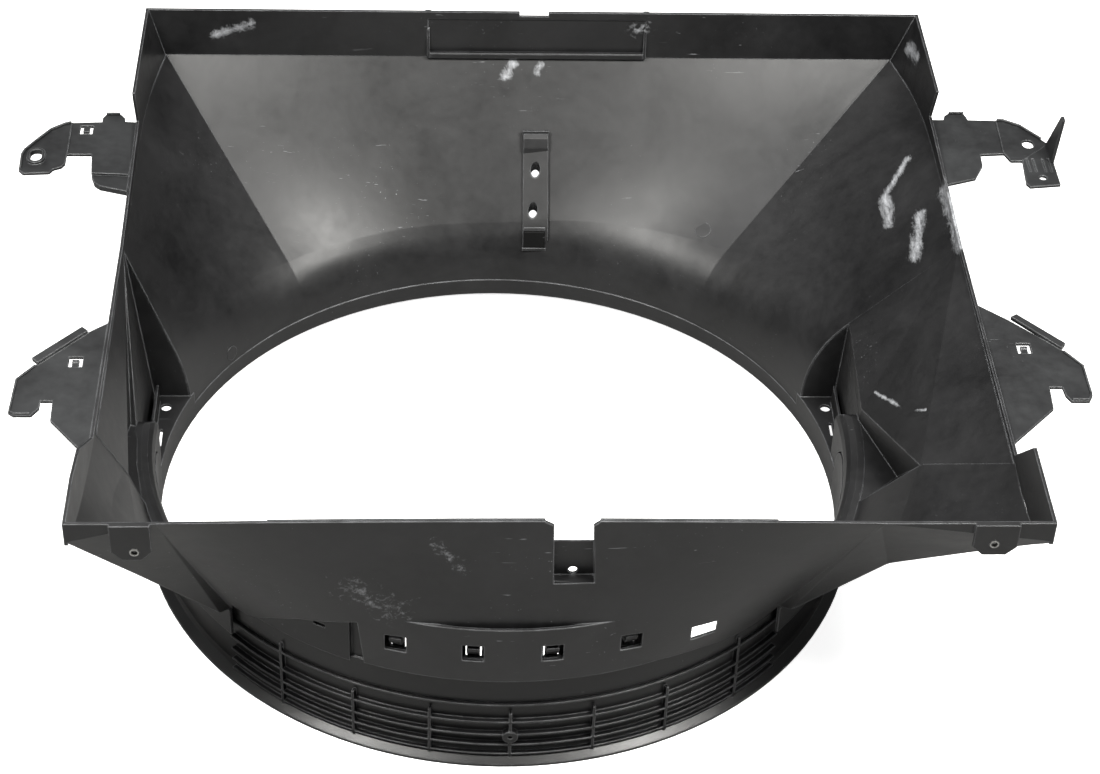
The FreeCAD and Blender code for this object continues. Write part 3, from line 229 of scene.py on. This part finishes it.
def plated_steel(name):
    """Zinc-plated steel sleeve, turned: a dull bright ring."""
    material, tree, shader, place = new_material(name)
    speck = add(tree, NOISE, {"Vector": place, "Scale": per_mm(1.6), "Detail": 3.0,
                              "Roughness": 0.6, "Distortion": 0.0})
    colour = add(tree, RAMP, {"Fac": speck}, stops=((0.3, "#8c8c8a"), (0.7, "#b9b9b6")))
    tree.links.new(colour, shader.inputs["Base Color"])
    shader.inputs["Metallic"].default_value = 1.0
    dulled = add(tree, MATH, {0: speck, 1: 0.2, 2: 0.25}, operation="MULTIPLY_ADD")
    tree.links.new(dulled, shader.inputs["Roughness"])
    return material


# Rub marks on the hopper: start and end in mm, half width in mm, and strength
RIGHT_SLOPE_MARKS = (((430, 298, 213), (404, 262, 192), 8, 0.85),
                     ((404, 262, 192), (402, 218, 190), 11, 0.9),
                     ((430, 205, 211), (417, 150, 200), 13, 0.85))
RIGHT_SKIRT_MARKS = (((453, 215, 236), (454, 120, 240), 16, 0.9),
                     ((447, 440, 262), (448, 410, 270), 12, 0.9))
FAR_WALL_MARKS = (((20, 456, 228), (12, 448, 216), 9, 0.9), ((50, 456, 228), (46, 450, 220), 6, 0.8),
                  ((-300, 460, 258), (-262, 460, 272), 9, 0.8), ((150, 462, 268), (160, 462, 272), 14, 0.5))
NEAR_WALL_MARKS = (((-138, -332, 207), (-100, -335, 186), 24, 0.35),
                   ((-66, -338, 266), (-40, -338, 236), 9, 0.35))
RIGHT_ZIGZAG = (((365, 6, 141), (378, -34, 160), 3, 0.9), ((378, -34, 160), (380, -52, 170), 3, 0.9),
                ((380, -52, 170), (397, -73, 186), 3, 0.9))
MARKS = RIGHT_SLOPE_MARKS + RIGHT_SKIRT_MARKS + FAR_WALL_MARKS + NEAR_WALL_MARKS + RIGHT_ZIGZAG

# The hopper is satin, the ring smoother and darker, its extra darkness painted shade for its near side and
# the hollows between its ribs, the brackets a little paler and duller
SHROUD = moulded_plastic("black_polypropylene_moulded", "#0b0b0c", "#1f1f20", "#b4b6ba",
                         rough=0.42, scuffs=0.5, marks=MARKS)
RING_PAINTED_DARKER = moulded_plastic("black_polypropylene_ring_painted_darker", "#070708", "#121213", "#9c9da0",
                       rough=0.36, scuffs=0.6, edges=0.5, shine=0.4)
BRACKET = moulded_plastic("black_polyamide_moulded", "#161617", "#2c2d2e", "#a9abae",
                          rough=0.40, scuffs=0.35)
# Near-black plastic for the plate in the strap's slot, which stands in for the slot's shadow: painted
# shadow
PAINTED_SHADOW = moulded_plastic("painted_shadow_black_plastic", "#040404", "#080808", "#3a3a3b",
                         rough=0.6, scuffs=0.2, edges=0.1, shine=0.2)
STEEL = plated_steel("zinc_plated_steel_turned")

FINISH = {"shroud_plastic": SHROUD, "ring_plastic": RING_PAINTED_DARKER, "bracket_plastic": BRACKET,
          "insert_steel": STEEL}


def dress(node_name, material):
    """Gives a CAD node its material in every slot."""
    mesh = frame["nodes"][node_name].data
    if not mesh.materials:
        mesh.materials.append(material)
    for index in range(len(mesh.materials)):
        mesh.materials[index] = material


for entry in frame["record"]["subparts"]:
    dress(entry["node"], FINISH[entry["material_slot"]])


# ---------------------------------------------------------------- surfaces
def skin(name, outlines, material):
    """Closed skin through outlines in mm: each row of points is one closed outline, every row is
    joined to the next corner by corner, and the first and last rows are capped."""
    points = np.asarray(outlines, dtype=float) * MM
    rows, across = points.shape[:2]
    index = np.arange(rows * across).reshape(rows, across)
    turned = np.roll(index, -1, axis=1)
    quads = np.stack([index[:-1], turned[:-1], turned[1:], index[1:]], axis=-1).reshape(-1, 4)
    faces = quads.tolist() + [index[0][::-1].tolist(), index[-1].tolist()]
    mesh = bpy.data.meshes.new(name)
    mesh.from_pydata(points.reshape(-1, 3).tolist(), [], faces)
    shell = bmesh.new()
    shell.from_mesh(mesh)
    bmesh.ops.recalc_face_normals(shell, faces=shell.faces)
    shell.to_mesh(mesh)
    shell.free()
    mesh.materials.append(material)
    obj = bpy.data.objects.new(name, mesh)
    bpy.context.scene.collection.objects.link(obj)
    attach(obj, "shroud")
    return obj


def bar(outline, start, end):
    """Straight bar: the same (Y, Z) outline at X = start and at X = end."""
    profile = np.asarray(outline, dtype=float)
    ends = [np.hstack([np.full((len(profile), 1), x), profile]) for x in (start, end)]
    return np.stack(ends)


def fence(path, level, height, thick):
    """Low wall along a line of (X, Y) points: at each point the wall's two sides stand half its
    thickness to the left and right, along the mean normal of the two runs that meet there."""
    line = np.asarray(path, dtype=float)
    run = np.diff(line, axis=0)
    run = run / np.linalg.norm(run, axis=1)[:, None]
    normal = np.stack([-run[:, 1], run[:, 0]], axis=1)
    mean = np.vstack([normal[:1], (normal[:-1] + normal[1:]) / 2.0, normal[-1:]])
    mean = mean / np.linalg.norm(mean, axis=1)[:, None]
    left = line + mean * thick / 2.0
    right = line - mean * thick / 2.0
    low = np.full((len(line), 1), level - ROOT)
    high = np.full((len(line), 1), level + height)
    corners = [np.hstack(pair) for pair in ((left, low), (right, low), (right, high), (left, high))]
    return np.stack(corners, axis=1)


def disc(centre, normal, radius, rise):
    """Round pad: a circle, cos t times one side vector plus sin t times another, square to the
    normal, 1 mm below the surface and again at the rise above it."""
    axis = Vector(normal).normalized()
    side = axis.orthogonal().normalized()
    other = axis.cross(side)
    turn = np.linspace(0.0, 2.0 * math.pi, DISC_POINTS, endpoint=False)[:, None]
    rim = np.cos(turn) * np.array(side) * radius + np.sin(turn) * np.array(other) * radius
    return np.stack([rim + np.array(centre) + np.array(axis) * lift for lift in (-1.0, rise)])


# ---------------------------------------------------------------- raised details, in mm
ROOT = 0.2                  # how deep the low walls stand in their plates
DISC_POINTS = 32
FIELD_ENDS = (-72.0, 162.0)     # X of the ends of the far skirt's shallow field
CHEEK_HALF = 1.5                # half the thickness of the field's cheeks
NUB_HALF = 3.0                  # half the width of the nubs on the rim above the cheeks
LEDGE_OUTLINE = ((460.8, 240), (460.8, 233.5), (456.8, 232.5), (455.6, 234), (455.6, 239), (456.4, 240))
CHEEK_OUTLINE = ((460.8, 270), (460.8, 234), (455.6, 234))
NUB_OUTLINE = ((460.6, 288), (463.4, 288), (463.4, 290.2), (460.6, 290.2))

# Parts of the strap on the far slope: name, (Y, Z) outline, X range and material
STRAP_BARS = (
    ("strap_head", ((397, 147), (410, 164.5), (407, 169.5), (402, 166.5), (397, 157.5)),
     (31.4, 58.2), SHROUD),
    ("strap_head_lip", ((406.5, 166), (410.5, 166), (409.5, 172.5), (407.3, 172.5)), (30.6, 59.0), SHROUD),
    ("strap_slot_top", ((345.5, 83), (347.5, 86.5), (346.0, 88.5), (344.0, 85.5)), (31.5, 55.5), SHROUD),
    ("strap_slot_foot", ((338.6, 62), (341.5, 62), (341.5, 65.5), (338.6, 65.5)), (30.5, 56.5), SHROUD),
    # The slot's back plate is a near-black sheet where the slot shows only shade: painted shadow
    ("strap_slot_shadow_plate", ((339.8, 65), (343, 65), (346.5, 84.5), (343.2, 84.0)), (32.0, 55.0), PAINTED_SHADOW))

# Round marks of the mould's ejector pins: centre, normal of the wall there, radius and rise
EJECTOR_MARKS = {
    "ejector_mark_right": ((223.8, 316.0, 108.1), (-0.29, -0.43, 0.86), 9.0, 0.35),
    "ejector_mark_left": ((-276.8, 192.8, 36.4), (0.83, -0.55, 0.12), 8.0, 0.35)}

# Low walls and seams on the brackets: line, level, height and thickness
UPPER_LEVEL = 240
LEFT_LEVEL = 229
RIGHT_LEVEL = 233
BRACKET_WALLS = {
    "upper_left_ear_wall": (((-439, 316.5), (-445, 314), (-458, 303.5), (-471, 283), (-480.5, 266.5),
                             (-482.5, 258), (-481.5, 235)), UPPER_LEVEL, 3.0, 1.8),
    "upper_left_seam": (((-438.5, 317), (-437.5, 263)), UPPER_LEVEL, 1.2, 1.2),
    "upper_left_tab_wall": (((-404.5, 332.6), (-390.5, 332.6)), UPPER_LEVEL, 3.0, 1.8),
    "upper_left_fold": (((-409.5, 228.5), (-374, 226.5)), UPPER_LEVEL, 1.0, 1.2),
    "upper_right_ear_wall": (((526, 331.6), (532, 331.6), (548, 321.8), (566.5, 297.6)),
                             UPPER_LEVEL, 3.0, 1.8),
    "upper_right_seam": (((525.5, 332), (523.5, 274)), UPPER_LEVEL, 1.2, 1.2),
    "upper_right_tab_wall": (((477, 344.6), (492.5, 344.6)), UPPER_LEVEL, 3.0, 1.8),
    "lower_left_wall": (((-432, -63), (-446.8, -83.5), (-447.8, -127.5), (-443.6, -130.8),
                         (-429, -130.8)), LEFT_LEVEL, 2.0, 1.6),
    "lower_right_wall": (((526.5, -44), (540.8, -65.5), (540.8, -106.5), (537.2, -113.8),
                          (522, -113.8)), RIGHT_LEVEL, 2.0, 1.6)}


def far_skirt_field():
    """Ledge, cheeks and rim nubs of the far skirt's shallow field."""
    left, right = FIELD_ENDS
    ledge = bar(LEDGE_OUTLINE, left + CHEEK_HALF, right - CHEEK_HALF)
    skin("far_field_ledge", ledge, SHROUD)
    for count, x in enumerate(FIELD_ENDS, 1):
        cheek = bar(CHEEK_OUTLINE, x - CHEEK_HALF, x + CHEEK_HALF)
        skin(f"far_field_cheek_{count}", cheek, SHROUD)
        nub = bar(NUB_OUTLINE, x - NUB_HALF, x + NUB_HALF)
        skin(f"far_rim_nub_{count}", nub, SHROUD)


far_skirt_field()
for name, outline, reach, material in STRAP_BARS:
    skin(name, bar(outline, *reach), material)
for name, mark in EJECTOR_MARKS.items():
    skin(name, disc(*mark), SHROUD)
for name, wall in BRACKET_WALLS.items():
    skin(name, fence(*wall), BRACKET)


# ---------------------------------------------------------------- studio
FLOOR_REACH = 4.5
FLOOR_DROP = 0.0005


def floor_sheet():
    """White sweep: a flat grid, z = 0 everywhere, 9 m square."""
    reach = np.linspace(-FLOOR_REACH, FLOOR_REACH, 10)
    x, y = np.meshgrid(reach, reach, indexing="ij")
    points = np.stack([x, y, np.zeros_like(x)], axis=-1).reshape(-1, 3)
    index = np.arange(points.shape[0]).reshape(x.shape)
    quads = np.stack([index[:-1, :-1], index[1:, :-1], index[1:, 1:], index[:-1, 1:]], axis=-1)
    mesh = bpy.data.meshes.new("floor")
    mesh.from_pydata(points.tolist(), [], quads.reshape(-1, 4).tolist())
    sheet = bpy.data.objects.new("floor", mesh)
    bpy.context.scene.collection.objects.link(sheet)
    sheet.location.z = cad_box[0][2] - FLOOR_DROP
    return sheet


def paper_white():
    """Matt white paper that the camera sees nearly white, and that lights the object as a
    greyer floor would."""
    material = bpy.data.materials.new("white_paper_sweep")
    material.use_nodes = True
    tree = material.node_tree
    shader = tree.nodes["Principled BSDF"]
    shader.inputs["Base Color"].default_value = linear("#f4f4f4")
    shader.inputs["Roughness"].default_value = 0.9
    glow = add(tree, "ShaderNodeEmission", {"Color": (1, 1, 1, 1), "Strength": 0.85})
    paper = add(tree, "ShaderNodeAddShader", {0: shader.outputs[0], 1: glow})
    grey = add(tree, "ShaderNodeBsdfDiffuse", {"Color": linear("#909090")})
    seen = add(tree, "ShaderNodeLightPath", out="Is Camera Ray")
    pick = add(tree, "ShaderNodeMixShader", {0: seen, 1: grey, 2: paper})
    tree.links.new(pick, tree.nodes["Material Output"].inputs["Surface"])
    return material


floor = floor_sheet()
floor.data.materials.append(paper_white())


def studio_world():
    """White to the camera, and an even dim grey light on the object."""
    world = bpy.data.worlds.new("studio")
    world.use_nodes = True
    tree = world.node_tree
    dim = tree.nodes["Background"]
    dim.inputs["Color"].default_value = (1, 1, 1, 1)
    dim.inputs["Strength"].default_value = 0.22
    white = add(tree, "ShaderNodeBackground", {"Color": (1, 1, 1, 1), "Strength": 1.0})
    seen = add(tree, "ShaderNodeLightPath", out="Is Camera Ray")
    pick = add(tree, "ShaderNodeMixShader", {0: seen, 1: dim.outputs[0], 2: white})
    tree.links.new(pick, tree.nodes["World Output"].inputs["Surface"])
    return world


bpy.context.scene.world = studio_world()


def lamp(name, place, aim, size, power, colour=(1, 1, 1)):
    """Square soft box at a place, turned to face a point."""
    data = bpy.data.lights.new(name, "AREA")
    data.shape = "SQUARE"
    data.size = size
    data.energy = power
    data.color = colour
    light = bpy.data.objects.new(name, data)
    bpy.context.scene.collection.objects.link(light)
    light.location = place
    light.rotation_euler = (Vector(aim) - Vector(place)).to_track_quat("-Z", "Y").to_euler()
    return light


# Two soft boxes over the near side give the far slope its two broad glows
WARM = (1.0, 0.99, 0.955)
lamp("left box", (-1.05, -0.75, 2.15), (0.1, 0.4, 0.15), 0.8, 78.0, WARM)
lamp("right box", (1.1, -0.75, 2.15), (-0.05, 0.4, 0.15), 0.8, 86.0, WARM)
lamp("top box", (0.0, 0.9, 2.8), (0.0, 0.0, 0.1), 1.2, 26.0)


# ---------------------------------------------------------------- camera
PITCH = math.radians(39.94)
YAW = math.radians(3.52)
ROLL = math.radians(-2.35)
STAND = (-0.06937, -1.88246, 1.73143)


def studio_camera():
    """Long lens looking down at the near side: yaw about Z, then pitch, then a small roll."""
    ahead = Vector((math.sin(YAW) * math.cos(PITCH), math.cos(YAW) * math.cos(PITCH), -math.sin(PITCH)))
    right = Vector((math.cos(YAW), -math.sin(YAW), 0.0))
    down = ahead.cross(right)
    axis_x = math.cos(ROLL) * right + math.sin(ROLL) * down
    axis_y = math.sin(ROLL) * right - math.cos(ROLL) * down
    lens = bpy.data.cameras.new("camera")
    lens.lens = 83.26
    lens.sensor_width = 36.0
    lens.clip_end = 50.0
    camera = bpy.data.objects.new("camera", lens)
    bpy.context.scene.collection.objects.link(camera)
    turn = Matrix((axis_x, axis_y, -ahead)).transposed().to_4x4()
    camera.matrix_world = Matrix.Translation(STAND) @ turn
    return camera


bpy.context.scene.camera = studio_camera()
bpy.context.scene.view_settings.view_transform = "Standard"
